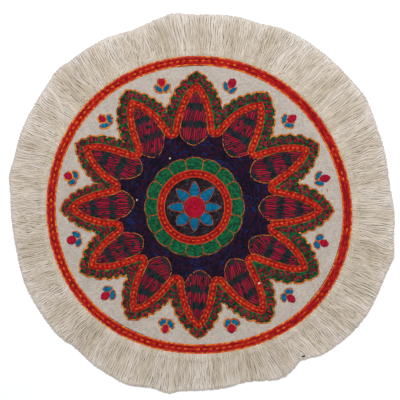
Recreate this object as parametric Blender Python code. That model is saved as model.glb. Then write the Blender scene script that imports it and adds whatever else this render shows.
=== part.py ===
# A round embroidered tablecloth lying flat: the ground cloth, and a yarn fringe sewn on its margin.
# Metres, +Z up. The table is z = 0, and the origin is under the middle of the whole outline.
import bpy
import numpy as np

# Ground cloth
CLOTH_RADIUS = 0.1618       # mean radius of the cut edge
CLOTH_THICKNESS = 0.0016
CLOTH_CORNER = 0.0004       # rounding of the turned-in edge, top and bottom
CLOTH_RINGS = (0.30, 0.55, 0.80)    # where the flat faces are divided, as a share of the radius
CLOTH_SEGMENTS = 96
CLOTH_COLOUR = (0.62, 0.56, 0.48)
CLOTH_ROUGHNESS = 0.95

# Fringe: the heading is the spine of the comb, the yarns are its teeth
GAP = 0.0003                # clearance between the sewn pieces
HEADING_INSIDE = 0.0040     # how far the heading lies in on the cloth
HEADING_OUTSIDE = 0.0020    # how far it reaches out over the cut edge
HEADING_THICKNESS = 0.0012
DROP_RUN = 0.0040           # the yarns come down to the table within this distance
TEETH = 120
TOOTH_SHARE = 0.90          # tooth width as a share of its pitch
TOOTH_THICKNESS = 0.0016
TOOTH_STATIONS = (0.35, 0.70, 1.0)  # where a tooth is divided, from the foot of the drop to its tip
FOOT_LEAN = 0.1             # share of its lean that a tooth has at the foot of the drop
FRINGE_COLOUR = (0.64, 0.58, 0.49)
FRINGE_ROUGHNESS = 0.9

# How the teeth swell and thin along the fringe
TOOTH_SWELLS = (
    # lobes, height, turn_deg
    (7, 0.00030, 12.9),
    (19, 0.00018, 1.7),
)

# Cut edge, out of round: how many lobes, how high, and where the first one points
CLOTH_LOBES = (
    # lobes, height, turn_deg
    (2, 0.0023, 165.0),
    (3, 0.0016, 92.0),
    (4, 0.0009, 52.0),
)

# Free ends of the fringe, measured from the middle of the cloth: a lobed circle
FRINGE_REACH = 0.2000
FRINGE_LOBES = (
    # lobes, height, turn_deg
    (1, 0.0040, 37.0),
    (2, 0.0020, 178.0),
    (3, 0.0013, 103.0),
    (4, 0.0032, 55.0),
)

# Locks of longer yarns and notches between them
FRINGE_LOCKS = (
    # middle_deg, spread_deg, height
    (8.0, 8.0, -0.0028),
    (34.0, 6.0, 0.0030),
    (72.0, 5.0, -0.0028),
    (99.0, 4.0, 0.0042),
    (111.0, 4.0, -0.0032),
    (136.0, 3.0, 0.0025),
    (148.0, 6.0, -0.0012),
    (172.0, 3.0, 0.0028),
    (204.0, 8.0, 0.0020),
    (231.0, 5.0, -0.0045),
    (248.0, 4.0, 0.0032),
    (260.0, 2.5, 0.0040),
    (284.0, 5.0, -0.0025),
    (296.0, 4.0, 0.0036),
    (305.0, 3.4, -0.0068),
    (324.0, 9.0, 0.0022),
    (344.0, 3.0, 0.0038),
)

# Sideways lean of the yarns at their tips
LEAN_WAVES = (
    # lobes, lean_deg, turn_deg
    (5, 0.9, 20.0),
    (11, 0.5, 70.0),
)


def lobed(angle, rows):
    """Sum of cosine waves round the circle: lobes, height and turn of each."""
    return sum(height * np.cos(lobes * (angle - np.radians(turn))) for lobes, height, turn in rows)


def cloth_edge(angle):
    """Radius of the cut edge in one direction."""
    return CLOTH_RADIUS + lobed(angle, CLOTH_LOBES)


def fringe_edge(angle):
    """Radius of the free ends: the lobed circle with bell-shaped locks and notches."""
    reach = FRINGE_REACH + lobed(angle, FRINGE_LOBES)
    for middle, spread, height in FRINGE_LOCKS:
        away = (np.degrees(angle) - middle + 180.0) % 360.0 - 180.0
        reach += height * np.exp(-((away / spread) ** 2))
    return reach


def tooth_angles():
    """Start and end angle of every tooth at the heading, as an array of two columns."""
    pitch = 2.0 * np.pi / TEETH
    middle = pitch * (np.arange(TEETH) + 0.5)
    half = 0.5 * TOOTH_SHARE * pitch
    return np.stack([middle - half, middle + half], axis=1)


def leaned(angle, share):
    """Direction of a yarn some share of the way to its tip."""
    return angle + share * np.radians(lobed(angle, LEAN_WAVES))


def outline_middle():
    """Middle of the box round the free ends of the teeth, from the middle of the cloth."""
    angle = leaned(tooth_angles().ravel(), 1.0)
    tip = fringe_edge(angle)[:, None] * np.stack([np.cos(angle), np.sin(angle)], axis=1)
    return 0.5 * (tip.min(axis=0) + tip.max(axis=0))


MIDDLE = outline_middle()


def placed(radius, angle, height):
    """Points in the frame of the whole object, from polar places about the middle of the cloth."""
    x = radius * np.cos(angle) - MIDDLE[0]
    y = radius * np.sin(angle) - MIDDLE[1]
    return np.stack([x, y, height + 0.0 * x], axis=-1)


def make_material(name, colour, roughness):
    material = bpy.data.materials.new(name)
    material.use_nodes = True
    shader = material.node_tree.nodes["Principled BSDF"]
    shader.inputs["Base Color"].default_value = (*colour, 1.0)
    shader.inputs["Roughness"].default_value = roughness
    shader.inputs["Metallic"].default_value = 0.0
    return material


def make_object(name, points, faces, material):
    mesh = bpy.data.meshes.new(name)
    mesh.from_pydata([tuple(point) for point in points], [], faces)
    mesh.materials.append(material)
    mesh.validate()
    mesh.update()
    obj = bpy.data.objects.new(name, mesh)
    bpy.context.scene.collection.objects.link(obj)
    return obj


def loop_bands(loops, segments):
    """Quads between closed loops of points that are stored one after another."""
    faces = []
    for loop in range(loops - 1):
        low = loop * segments
        for i in range(segments):
            j = (i + 1) % segments
            faces.append((low + i, low + j, low + segments + j, low + segments + i))
    return faces


def make_cloth():
    """Flat sheet: loops from the middle of the top, out round the edge, back to the middle below."""
    angle = 2.0 * np.pi * np.arange(CLOTH_SEGMENTS) / CLOTH_SEGMENTS
    edge = cloth_edge(angle)
    top, low, corner = CLOTH_THICKNESS, 0.0, CLOTH_CORNER
    sections = [(share * edge, top) for share in CLOTH_RINGS]
    sections += [(edge - corner, top), (edge, top - corner), (edge, corner), (edge - corner, low)]
    sections += [(share * edge, low) for share in reversed(CLOTH_RINGS)]
    loops = [placed(radius, angle, height) for radius, height in sections]
    zero = np.zeros(1)
    points = np.concatenate(loops + [placed(zero, zero, top), placed(zero, zero, low)])
    faces = [face[::-1] for face in loop_bands(len(loops), CLOTH_SEGMENTS)]
    centre_top, centre_low = len(points) - 2, len(points) - 1
    last = (len(loops) - 1) * CLOTH_SEGMENTS
    for i in range(CLOTH_SEGMENTS):
        j = (i + 1) % CLOTH_SEGMENTS
        faces.append((centre_top, i, j))
        faces.append((centre_low, last + j, last + i))
    material = make_material("wool_cloth", CLOTH_COLOUR, CLOTH_ROUGHNESS)
    return make_object("cloth", points, faces, material)


def comb_columns():
    """Angles of all the columns round the comb: both sides of every tooth in turn."""
    return tooth_angles().ravel()


def heading_sections(angle):
    """Radius, underside and top of the heading at its inner edge and at its outer edge."""
    edge = cloth_edge(angle)
    low = CLOTH_THICKNESS + GAP
    high = low + HEADING_THICKNESS
    inner = edge - HEADING_INSIDE
    outer = edge + HEADING_OUTSIDE
    return (inner, low, high), (outer, low, high)


def tooth_heights(count):
    """Thickness of each tooth, swelling and thinning along the fringe; both its sides are alike."""
    turn = 2.0 * np.pi * np.arange(count // 2) / (count // 2)
    return np.repeat(TOOTH_THICKNESS + lobed(turn, TOOTH_SWELLS), 2)


def make_fringe():
    """One comb: a heading ring whose outer side drops to the table as separate teeth."""
    angle = comb_columns()
    count = len(angle)
    (inner, low, high), (outer, _, _) = heading_sections(angle)
    foot = outer + DROP_RUN
    tip = fringe_edge(leaned(angle, 1.0))
    thickness = tooth_heights(count)
    # Each section is a loop of top points and a loop of bottom points.
    sections = [placed(inner, angle, high), placed(inner, angle, low)]
    sections += [placed(outer, angle, high), placed(outer, angle, low)]
    for share in (0.0, *TOOTH_STATIONS):
        radius = foot + share * (tip - foot)
        along = leaned(angle, FOOT_LEAN + (1.0 - FOOT_LEAN) * share)
        sections += [placed(radius, along, thickness), placed(radius, along, 0.0)]
    points = np.concatenate(sections)
    faces = heading_faces(count) + tooth_faces(count, len(sections) // 2)
    material = make_material("fringe_yarn", FRINGE_COLOUR, FRINGE_ROUGHNESS)
    return make_object("fringe", points, faces, material)


def heading_faces(count):
    """Closed ring: inner wall, top and underside, and the outer wall between one tooth and the next."""
    faces = []
    for i in range(count):
        j = (i + 1) % count
        top_in, low_in = (i, j), (count + i, count + j)
        top_out, low_out = (2 * count + i, 2 * count + j), (3 * count + i, 3 * count + j)
        faces.append((top_in[0], top_in[1], low_in[1], low_in[0]))
        faces.append((top_in[1], top_in[0], top_out[0], top_out[1]))
        faces.append((low_in[0], low_in[1], low_out[1], low_out[0]))
        if i % 2 == 1:
            faces.append((top_out[1], top_out[0], low_out[0], low_out[1]))
    return faces


def tooth_faces(count, sections):
    """Every tooth: top, underside and both sides between the sections, and its end."""
    faces = []
    for i in range(0, count, 2):
        j = i + 1
        for section in range(1, sections - 1):
            near, far = 2 * section * count, 2 * (section + 1) * count
            faces.append((near + j, near + i, far + i, far + j))
            faces.append((near + count + i, near + count + j, far + count + j, far + count + i))
            faces.append((near + i, near + count + i, far + count + i, far + i))
            faces.append((near + count + j, near + j, far + j, far + count + j))
        end = 2 * (sections - 1) * count
        faces.append((end + j, end + i, end + count + i, end + count + j))
    return faces


for existing in list(bpy.data.objects):
    bpy.data.objects.remove(existing)
make_cloth()
make_fringe()
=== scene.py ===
import bpy
import numpy as np
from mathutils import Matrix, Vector


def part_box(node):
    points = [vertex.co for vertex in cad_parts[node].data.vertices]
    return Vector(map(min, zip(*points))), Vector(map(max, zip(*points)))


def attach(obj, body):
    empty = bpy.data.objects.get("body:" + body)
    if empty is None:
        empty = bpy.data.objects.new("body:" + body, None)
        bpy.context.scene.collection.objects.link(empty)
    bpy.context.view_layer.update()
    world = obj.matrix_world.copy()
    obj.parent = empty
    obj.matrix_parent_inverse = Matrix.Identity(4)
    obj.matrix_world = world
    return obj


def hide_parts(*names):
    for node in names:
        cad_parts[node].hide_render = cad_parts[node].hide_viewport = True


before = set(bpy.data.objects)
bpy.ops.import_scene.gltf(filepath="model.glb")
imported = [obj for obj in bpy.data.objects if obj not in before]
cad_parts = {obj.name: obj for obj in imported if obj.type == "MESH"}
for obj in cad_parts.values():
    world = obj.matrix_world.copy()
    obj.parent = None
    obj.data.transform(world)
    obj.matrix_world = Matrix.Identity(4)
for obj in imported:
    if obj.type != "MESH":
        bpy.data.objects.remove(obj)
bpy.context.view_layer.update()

mm = 0.001
fullTurn = 2.0 * np.pi
dice = np.random.default_rng(26)

print("embroidered tablecloth: reading the frame")


def nodePoints(name):
    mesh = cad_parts[name].data
    flat = np.empty(3 * len(mesh.vertices))
    mesh.vertices.foreach_get("co", flat)
    return flat.reshape(-1, 3)


# Arrays set side by side, as the columns of one
def joined(*parts):
    return np.stack(np.broadcast_arrays(*parts), axis=-1)


def lengthOf(away):
    return np.hypot(away[..., 0], away[..., 1])


def headingOf(direction):
    return np.arctan2(direction[..., 1], direction[..., 0])


# Farthest reach of a node from a middle point in evenly spaced directions, counted from +X towards +Y
def farthestReach(points, middle, directions):
    away = points[:, :2] - middle
    step = fullTurn / directions
    reach = np.zeros(directions)
    np.maximum.at(reach, np.round(headingOf(away) / step).astype(int) % directions, lengthOf(away))
    return step * np.arange(directions), reach


# Middle of area of a closed outline given by its reach in each direction
def middleOfArea(middle, angle, reach):
    x, y = reach * np.cos(angle), reach * np.sin(angle)
    cross = x * np.roll(y, -1) - y * np.roll(x, -1)
    ahead = np.stack([x + np.roll(x, -1), y + np.roll(y, -1)])
    return middle + (ahead * cross).sum(axis=1) / (3.0 * cross.sum())


clothPoints = nodePoints("cloth")
clothDirections = 96
fringeDirections = 120
boxLow, boxHigh = (np.array(corner)[:2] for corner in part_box("cloth"))
boxMiddle = 0.5 * (boxLow + boxHigh)
clothMiddle = middleOfArea(boxMiddle, *farthestReach(clothPoints, boxMiddle, clothDirections))
clothProfile = farthestReach(clothPoints, clothMiddle, clothDirections)
fringeProfile = farthestReach(nodePoints("fringe"), clothMiddle, fringeDirections)


def clothEdge(angle):
    return np.interp(angle, *clothProfile, period=fullTurn)


def fringeEnd(angle):
    return np.interp(angle, *fringeProfile, period=fullTurn)


# Evenly spaced directions, counted from +X towards +Y
def turnsOf(count):
    return fullTurn * np.arange(count) / count


def onCloth(reach, angle):
    return clothMiddle + joined(reach * np.cos(angle), reach * np.sin(angle))


# The rosette's own middle lies a little left of the cloth's and below it
motifMiddle = clothMiddle + np.array([-4.5, -1.3]) * mm


# Places counted like a clock face: degrees clockwise from the far side, reach from the rosette's middle
def clockPlace(reach, turn):
    turn = np.radians(turn)
    return motifMiddle + joined(reach * np.sin(turn), reach * np.cos(turn))


def leftOf(direction):
    return joined(-direction[..., 1], direction[..., 0])


def unit(direction):
    return direction / np.linalg.norm(direction, axis=-1, keepdims=True)


def crossOf(first, second):
    return first[..., 0] * second[..., 1] - first[..., 1] * second[..., 0]


# A direction turned clockwise by some degrees
def clockwise(direction, degrees):
    angle = np.radians(degrees)
    return direction * np.cos(angle) - leftOf(direction) * np.sin(angle)


# Cubic curve from begin to end, pulled towards two handles
def cubicLine(begin, first, second, end, points):
    t = np.linspace(0.0, 1.0, points)[:, None]
    left = 1.0 - t
    return left ** 3 * begin + 3.0 * t * left ** 2 * first + 3.0 * t ** 2 * left * second + t ** 3 * end


# A bell shape of height 1 round a direction, all in degrees
def bell(degrees, middle, spread):
    return np.exp(-(((degrees - middle + 180.0) % 360.0 - 180.0) / spread) ** 2)


# Faces of closed tubes: each is a stack of rings of points, and one point more at its head and its tail
def tubeFaces(tubes, rings, sides):
    first = (rings * sides + 2) * np.arange(tubes)[:, None, None]
    low = first + sides * np.arange(rings - 1)[None, :, None]
    side = np.arange(sides)[None, None, :]
    beside = (side + 1) % sides
    quads = joined(low + side, low + sides + side, low + sides + beside, low + beside)
    head = first + rings * sides
    last = head - sides
    heads = joined(head, first + side, first + beside)
    tails = joined(head + 1, last + beside, last + side)
    return quads.reshape(-1, 4), np.concatenate([heads.reshape(-1, 3), tails.reshape(-1, 3)])


# Faces of one closed hoop: a closed section carried round a closed line
def hoopFaces(stations, sides):
    station = np.arange(stations)[:, None]
    side = np.arange(sides)[None, :]
    ahead = sides * ((station + 1) % stations)
    here = sides * station
    beside = (side + 1) % sides
    quads = joined(here + side, here + beside, ahead + beside, ahead + side)
    return quads.reshape(-1, 4), np.zeros((0, 3), int)


def addObject(name, data):
    thing = bpy.data.objects.new(name, data)
    bpy.context.scene.collection.objects.link(thing)
    return thing


def fillIn(target, key, values, kind=np.float32):
    target.foreach_set(key, np.asarray(values, kind).ravel())


# Puts points and faces into a mesh whole; wool is a material and its slot's name, which is not used, and
# every point may have a tone, a place in the map and a dye
def makePiece(name, points, faces, wool, tone=None, mapPlace=None, dye=None):
    material, slotName = wool
    quads, triangles = faces
    corners = np.concatenate([quads.ravel(), triangles.ravel()])
    starts = np.concatenate([4 * np.arange(len(quads)), 4 * len(quads) + 3 * np.arange(len(triangles))])
    mesh = bpy.data.meshes.new(name)
    mesh.vertices.add(len(points))
    fillIn(mesh.vertices, "co", points)
    mesh.loops.add(len(corners))
    fillIn(mesh.loops, "vertex_index", corners, np.int32)
    mesh.polygons.add(len(starts))
    fillIn(mesh.polygons, "loop_start", starts, np.int32)
    mesh.update(calc_edges=True)
    mesh.shade_smooth()
    if mapPlace is not None:
        fillIn(mesh.uv_layers.new(name="threadMap").data, "uv", mapPlace[corners])
    if tone is not None:
        fillIn(mesh.attributes.new("tone", "FLOAT", "POINT").data, "value", tone)
    if dye is not None:
        fillIn(mesh.attributes.new("dye", "FLOAT_COLOR", "POINT").data, "color", dye)
    mesh.materials.append(material)
    piece = addObject(name, mesh)
    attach(piece, "root")
    print("  made", name, len(starts), "faces")
    return piece


# True for points inside a closed outline: a ray from the point crosses the outline an odd number of times
def insideOutline(points, outline):
    x, y = points[:, 0:1], points[:, 1:2]
    ax, ay = outline[:, 0], outline[:, 1]
    bx, by = np.roll(ax, -1), np.roll(ay, -1)
    spans = (ay > y) != (by > y)
    rise = np.where(by == ay, 1.0, by - ay)
    crosses = spans & (x < ax + (y - ay) * (bx - ax) / rise)
    return crosses.sum(axis=1) % 2 == 1


# Distance run along a line at each of its points
def runAlong(line):
    return np.concatenate([[0.0], np.cumsum(lengthOf(np.diff(line, axis=0)))])


headingSpan = 0.4               # a line's heading is taken over this share of the pitch either way


# Evenly spaced places on a line, with the heading of the line there
def alongLine(line, pitch, closed=True, start=0.5):
    if closed:
        line = np.vstack([line, line[:1]])
    run = runAlong(line)
    count = max(int(round(run[-1] / pitch)), 1)
    where = (np.arange(count) + start) / count * run[-1]

    def at(place):
        place = place % run[-1] if closed else np.clip(place, 0.0, run[-1])
        return joined(np.interp(place, run, line[:, 0]), np.interp(place, run, line[:, 1]))

    span = headingSpan * pitch
    return at(where), headingOf(at(where + span) - at(where - span))


stitchForm = {
    "places": (-0.66, 0.0, 0.66),               # rings along a stitch, from -1 at its head to 1
    "fullness": 2.6,                            # how long it stays wide before it dives into the cloth
    "across": (-1.0, -0.74, 0.0, 0.74, 1.0),    # the arch from foot to foot
    "up": (0.0, 0.72, 1.0, 0.72, 0.0),
    "riseShares": (0.3, 0.7),                   # the part of the rise that is even, and that swells
    "endRise": 0.15,
    "backAcross": (-1.0, 0.0, 1.0),             # a plainer arch for the back of the work
    "backUp": (0.0, 1.0, 0.0),
    "top": 1.20 * mm,                           # where stitches stand on the cloth
    "underTop": 0.52 * mm,                      # and where the back of the work hangs from it
    "headingPlay": 0.09,
    "lengthPlay": 0.14,
    "widthPlay": 0.10,
    "risePlay": 0.18,
}
backForm = {"every": 4, "length": 0.9, "width": 1.15, "rise": 0.36 * mm, "headingPlay": 0.35}
sewn = {}


# Notes stitches for one piece: middle, heading, length, width, rise, base height and tone of each
def sew(piece, middles, heading, size, tone=None, lift=0.0):
    count = len(middles)
    play = dice.uniform(-1.0, 1.0, (3, count))
    shares = ("lengthPlay", "widthPlay", "risePlay")
    sizes = [value * (1.0 + own * stitchForm[share]) for value, own, share in zip(size, play, shares)]
    heading = heading + dice.normal(0.0, stitchForm["headingPlay"], count)
    tone = dice.uniform(0.0, 1.0, count) if tone is None else np.broadcast_to(tone, count)
    base = np.full(count, stitchForm["top"] + lift)
    sewn.setdefault(piece, []).append(np.column_stack([middles, heading, *sizes, base, tone]))


# Settings of the stitches of one row or filling: pitch, length, width, rise, lift and how far apart rows
# are, all in mm; slant turns each stitch from its line like a rope's plies
def stitches(pitch, length, width, rise, slant=0.0, tone=(0.0, 1.0), lift=0.0, apart=0.0):
    return {
        "pitch": pitch * mm, "apart": apart * mm, "lift": lift * mm,
        "size": (length * mm, width * mm, rise * mm), "slant": slant, "tone": tone,
    }


def sewAt(piece, middles, heading, row):
    tone = dice.uniform(*row["tone"], len(middles))
    sew(piece, middles, heading + row["slant"], row["size"], tone, row["lift"])


# Satin stitches side by side, each of its own length
def sewSatin(piece, middles, heading, lengths, row):
    sewAt(piece, middles, heading, {**row, "size": (lengths, *row["size"][1:])})


# A row of stitches end to end along a line
def sewRow(piece, line, row, closed=True, keep=None):
    middles, heading = alongLine(line, row["pitch"], closed)
    if keep is not None:
        middles, heading = middles[keep(middles)], heading[keep(middles)]
    sewAt(piece, middles, heading, row)


# Stitch surface: u runs along it and v over its arch. The half width is width/2 * sqrt(1 - |u|^fullness),
# and the arch stands on a flat foot; each stitch is that grid stretched, turned and put in place.
def stitchSurface(rows, acrossForm, upForm, sign):
    middleX, middleY, heading, length, width, rise, base, tone = (column[:, None] for column in rows.T)
    u = np.repeat(stitchForm["places"], len(acrossForm))[None, :]
    v = np.tile(acrossForm, len(stitchForm["places"]))[None, :]
    up = np.tile(upForm, len(stitchForm["places"]))[None, :]
    spindle = np.sqrt(1.0 - np.abs(u) ** stitchForm["fullness"])
    along = np.hstack([0.5 * length * u, -0.5 * length, 0.5 * length])
    across = sign * np.hstack([0.5 * width * spindle * v, 0.0 * length, 0.0 * length])
    even, swelling = stitchForm["riseShares"]
    ends = stitchForm["endRise"] * rise
    height = sign * np.hstack([rise * (even + swelling * spindle) * up, ends, ends])
    x = middleX + along * np.cos(heading) - across * np.sin(heading)
    y = middleY + along * np.sin(heading) + across * np.cos(heading)
    points = joined(x, y, base + height).reshape(-1, 3)
    turn = np.arange(len(acrossForm)) / len(acrossForm)
    around = np.hstack([np.tile(turn, len(stitchForm["places"])), [0.5, 0.5]])
    return points, np.broadcast_to(tone, along.shape).ravel(), joined(along / mm, around).reshape(-1, 2)


def makeStitches(name, wool, rows=None, across=stitchForm["across"], up=stitchForm["up"], sign=1.0):
    rows = np.concatenate(sewn[name]) if rows is None else rows
    points, tones, mapPlace = stitchSurface(rows, across, up, sign)
    return makePiece(name, points, tubeFaces(len(rows), len(stitchForm["places"]), len(across)), wool,
                     tones, mapPlace)


# Back of the work: some stitches of the given pieces again, flatter, untidier and hanging under the cloth
def makeBackStitches(name, wool, pieces):
    rows = np.concatenate([row for piece in pieces for row in sewn[piece]])[::backForm["every"]]
    rows = rows * (1.0, 1.0, 1.0, backForm["length"], backForm["width"], 0.0, 0.0, 1.0)
    rows += (0.0, 0.0, 0.0, 0.0, 0.0, backForm["rise"], stitchForm["underTop"], 0.0)
    rows[:, 2] += dice.normal(0.0, backForm["headingPlay"], len(rows))
    return makeStitches(name, wool, rows, stitchForm["backAcross"], stitchForm["backUp"], -1.0)


def newMaterial(name):
    material = bpy.data.materials.new(name)
    material.use_nodes = True
    tree = material.node_tree
    return material, tree, tree.nodes["Principled BSDF"]


# Gives a socket a value: a fixed number, a colour, or what another node puts out
def feed(tree, value, socket):
    if isinstance(value, tuple):
        socket.default_value = (*value, 1.0)
    elif isinstance(value, (int, float)):
        socket.default_value = value
    else:
        tree.links.new(value, socket)


def addNode(tree, kind, **values):
    node = tree.nodes.new("ShaderNode" + kind)
    for name, value in values.items():
        feed(tree, value, node.inputs[name])
    return node


noiseForm = (3.0, 0.6)          # detail and roughness of most noises


def noiseNode(tree, place, scale, detail=noiseForm[0], roughness=noiseForm[1]):
    noise = addNode(tree, "TexNoise", Vector=place, Scale=scale, Detail=detail, Roughness=roughness)
    return noise.outputs["Fac"]


def mathNode(tree, kind, *values):
    node = addNode(tree, "Math")
    node.operation = kind
    for socket, value in zip(node.inputs, values):
        feed(tree, value, socket)
    return node.outputs["Value"]


def attributeNode(tree, name):
    node = addNode(tree, "Attribute")
    node.attribute_name = name
    return node.outputs


# Diagonal or straight ribs: a wave texture
def ribNode(tree, place, direction, scale, distortion):
    ribs = addNode(tree, "TexWave", Vector=place, Scale=scale, Distortion=distortion)
    ribs.bands_direction = direction
    return ribs.outputs["Fac"]


# What every wool surface ends in: colour, bump, a roughness moved by its fibres, and one sheen and gloss
def finishWool(tree, shader, finish, colour, fibres, height):
    bump = addNode(tree, "Bump", Height=height, Strength=finish["bump"], Distance=finish["bumpDepth"])
    rough = mathNode(tree, "MULTIPLY_ADD", fibres, finish["roughnessShare"], finish["roughness"])
    for value, name in (
            (colour, "Base Color"), (bump.outputs["Normal"], "Normal"), (rough, "Roughness"),
            (finish["sheen"], "Sheen Weight"), (finish["sheenRoughness"], "Sheen Roughness"),
            (finish["specular"], "Specular IOR Level")):
        feed(tree, value, shader.inputs[name])


woolFinish = {
    "fibreScale": 1900.0, "fibreShare": 0.30,       # single fibres, and how far they move the shade
    "patchScale": 60.0, "patchShare": 0.30,         # worn and faded patches
    "plyBands": 1.5, "plyTurns": 0.62, "plyPlay": 0.6,
    "bump": 0.6, "bumpDepth": 0.15 * mm, "fibreBump": 0.4,
    "roughness": 0.80, "roughnessShare": 0.2,
    "sheen": 0.04, "sheenRoughness": 0.4, "specular": 0.08,
}


# Wool yarn: the tone of each strand picks a shade from the ramp, fibres and worn patches move it, and
# slanting bands over the map place twist its plies
def woolThread(name, shades):
    material, tree, shader = newMaterial(name)
    place = addNode(tree, "TexCoord").outputs["Object"]
    fibres = noiseNode(tree, place, woolFinish["fibreScale"])
    patches = noiseNode(tree, place, woolFinish["patchScale"])
    picked = attributeNode(tree, "tone")["Fac"]
    for spots, share in ((fibres, woolFinish["fibreShare"]), (patches, woolFinish["patchShare"])):
        moved = mathNode(tree, "MULTIPLY_ADD", spots, share, -0.5 * share)
        picked = mathNode(tree, "ADD", picked, moved)
    ramp = addNode(tree, "ValToRGB", Fac=picked)
    ramp.color_ramp.elements.remove(ramp.color_ramp.elements[0])
    for index, (where, *colour) in enumerate(shades):
        stop = ramp.color_ramp.elements[0] if index == 0 else ramp.color_ramp.elements.new(where)
        stop.position = where
        stop.color = (*colour, 1.0)
    mapNode = addNode(tree, "UVMap")
    mapNode.uv_map = "threadMap"
    spread = addNode(tree, "Mapping", Vector=mapNode.outputs["UV"])
    spread.inputs["Scale"].default_value = (woolFinish["plyBands"], woolFinish["plyBands"], 1.0)
    place = spread.outputs["Vector"]
    plies = ribNode(tree, place, "DIAGONAL", woolFinish["plyTurns"], woolFinish["plyPlay"])
    height = mathNode(tree, "MULTIPLY_ADD", fibres, woolFinish["fibreBump"], plies)
    finishWool(tree, shader, woolFinish, ramp.outputs["Color"], fibres, height)
    return material


# Wools: the slot each one has, then its tones from dark to light with the colour at each
woolChart = {
    "redWool": ("red_wool", (0.05, 0.24, 0.004, 0.008), (0.35, 0.36, 0.006, 0.010),
        (0.65, 0.46, 0.012, 0.010), (0.95, 0.56, 0.040, 0.010)),
    "crimsonWool": ("red_wool", (0.05, 0.14, 0.003, 0.013), (0.50, 0.33, 0.004, 0.022),
        (0.95, 0.46, 0.008, 0.032)),
    "orangeWool": ("orange_wool", (0.05, 0.50, 0.035, 0.006), (0.40, 0.62, 0.080, 0.008),
        (0.70, 0.70, 0.14, 0.012), (0.95, 0.76, 0.24, 0.020)),
    "amberWool": ("orange_wool", (0.05, 0.34, 0.050, 0.007), (0.50, 0.54, 0.13, 0.012),
        (0.95, 0.66, 0.24, 0.022)),
    "maroonWool": ("red_wool", (0.05, 0.075, 0.005, 0.011), (0.50, 0.20, 0.005, 0.020),
        (0.95, 0.40, 0.007, 0.028)),
    "rustWool": ("orange_wool", (0.05, 0.13, 0.022, 0.008), (0.50, 0.28, 0.050, 0.009),
        (0.95, 0.50, 0.11, 0.012)),
    "greenWool": ("green_wool", (0.05, 0.016, 0.011, 0.010), (0.35, 0.008, 0.026, 0.015),
        (0.65, 0.005, 0.060, 0.023), (0.95, 0.006, 0.115, 0.036)),
    "scallopWool": ("green_wool", (0.05, 0.006, 0.045, 0.022), (0.50, 0.005, 0.088, 0.034),
        (0.95, 0.010, 0.145, 0.050)),
    "leafWool": ("dark_green_wool", (0.05, 0.008, 0.010, 0.014), (0.45, 0.009, 0.028, 0.026),
        (0.62, 0.030, 0.014, 0.020), (0.85, 0.095, 0.007, 0.026), (0.98, 0.13, 0.008, 0.032)),
    "navyWool": ("navy_wool", (0.05, 0.005, 0.004, 0.009), (0.35, 0.009, 0.005, 0.018),
        (0.60, 0.030, 0.005, 0.015), (0.80, 0.007, 0.008, 0.032), (0.97, 0.010, 0.016, 0.075)),
    "blackWool": ("navy_wool", (0.05, 0.007, 0.006, 0.009), (0.35, 0.018, 0.010, 0.015),
        (0.58, 0.042, 0.009, 0.018), (0.75, 0.012, 0.022, 0.024), (0.97, 0.034, 0.046, 0.052)),
    "blueWool": ("blue_wool", (0.05, 0.001, 0.055, 0.10), (0.50, 0.002, 0.105, 0.205),
        (0.95, 0.005, 0.19, 0.33)),
    "fringeWool": ("fringe_yarn", (0.05, 0.47, 0.385, 0.27), (0.50, 0.62, 0.53, 0.43),
        (0.95, 0.74, 0.665, 0.59)),
}

twillFinish = {
    "cream": (0.535, 0.462, 0.393), "shade": (0.29, 0.242, 0.20), "shadeShare": 1.5, "shadeFrom": 0.88,
    "ribScale": 560.0, "ribPlay": 1.2, "ribShare": 0.7, "weftScale": 620.0, "weftPlay": 1.0,
    "fibreScale": 1500.0, "patchScale": 45.0, "patchShare": 0.3,
    "slubs": (330.0, 4.0, 0.7), "specks": (800.0, 1.0, 0.5),        # scale, detail, roughness of the noise
    "bump": 0.5, "bumpDepth": 0.12 * mm,
    "roughness": 0.8, "roughnessShare": 0.15,
    "sheen": 0.08, "sheenRoughness": 0.5, "specular": 0.1,
}


def mixNode(tree, factor, first, second):
    mix = addNode(tree, "Mix")
    mix.data_type = "RGBA"
    for name, value in (("Factor", factor), ("A", first), ("B", second)):
        feed(tree, value, mix.inputs[name])
    return mix.outputs["Result"]


# Ground cloth: cream twill, two crossing sets of fine ribs, mottled by slubs and worn patches. The dye of
# the wool sewn through it shows wherever the stitches leave a gap.
def twillCloth(name):
    material, tree, shader = newMaterial(name)
    place = addNode(tree, "TexCoord").outputs["Object"]
    ribs = ribNode(tree, place, "DIAGONAL", twillFinish["ribScale"], twillFinish["ribPlay"])
    wefts = ribNode(tree, place, "X", twillFinish["weftScale"], twillFinish["weftPlay"])
    fibres = noiseNode(tree, place, twillFinish["fibreScale"])
    slubs = noiseNode(tree, place, *twillFinish["slubs"])
    specks = noiseNode(tree, place, *twillFinish["specks"])
    patches = noiseNode(tree, place, twillFinish["patchScale"])
    mottle = mathNode(tree, "ADD", slubs, specks)
    mottle = mathNode(tree, "MULTIPLY_ADD", patches, twillFinish["patchShare"], mottle)
    for kind, value in (("SUBTRACT", twillFinish["shadeFrom"]), ("MULTIPLY", twillFinish["shadeShare"]),
                        ("MAXIMUM", 0.0), ("MINIMUM", 1.0)):
        mottle = mathNode(tree, kind, mottle, value)
    cream = mixNode(tree, mottle, twillFinish["cream"], twillFinish["shade"])
    dye = attributeNode(tree, "dye")
    weave = mathNode(tree, "MULTIPLY_ADD", ribs, twillFinish["ribShare"], wefts)
    finishWool(tree, shader, twillFinish, mixNode(tree, dye["Alpha"], cream, dye["Color"]), fibres, weave)
    return material


wools = {name: (woolThread(name, shades), slotName) for name, (slotName, *shades) in woolChart.items()}
creamTwill = (twillCloth("creamTwill"), "wool_cloth")

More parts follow.
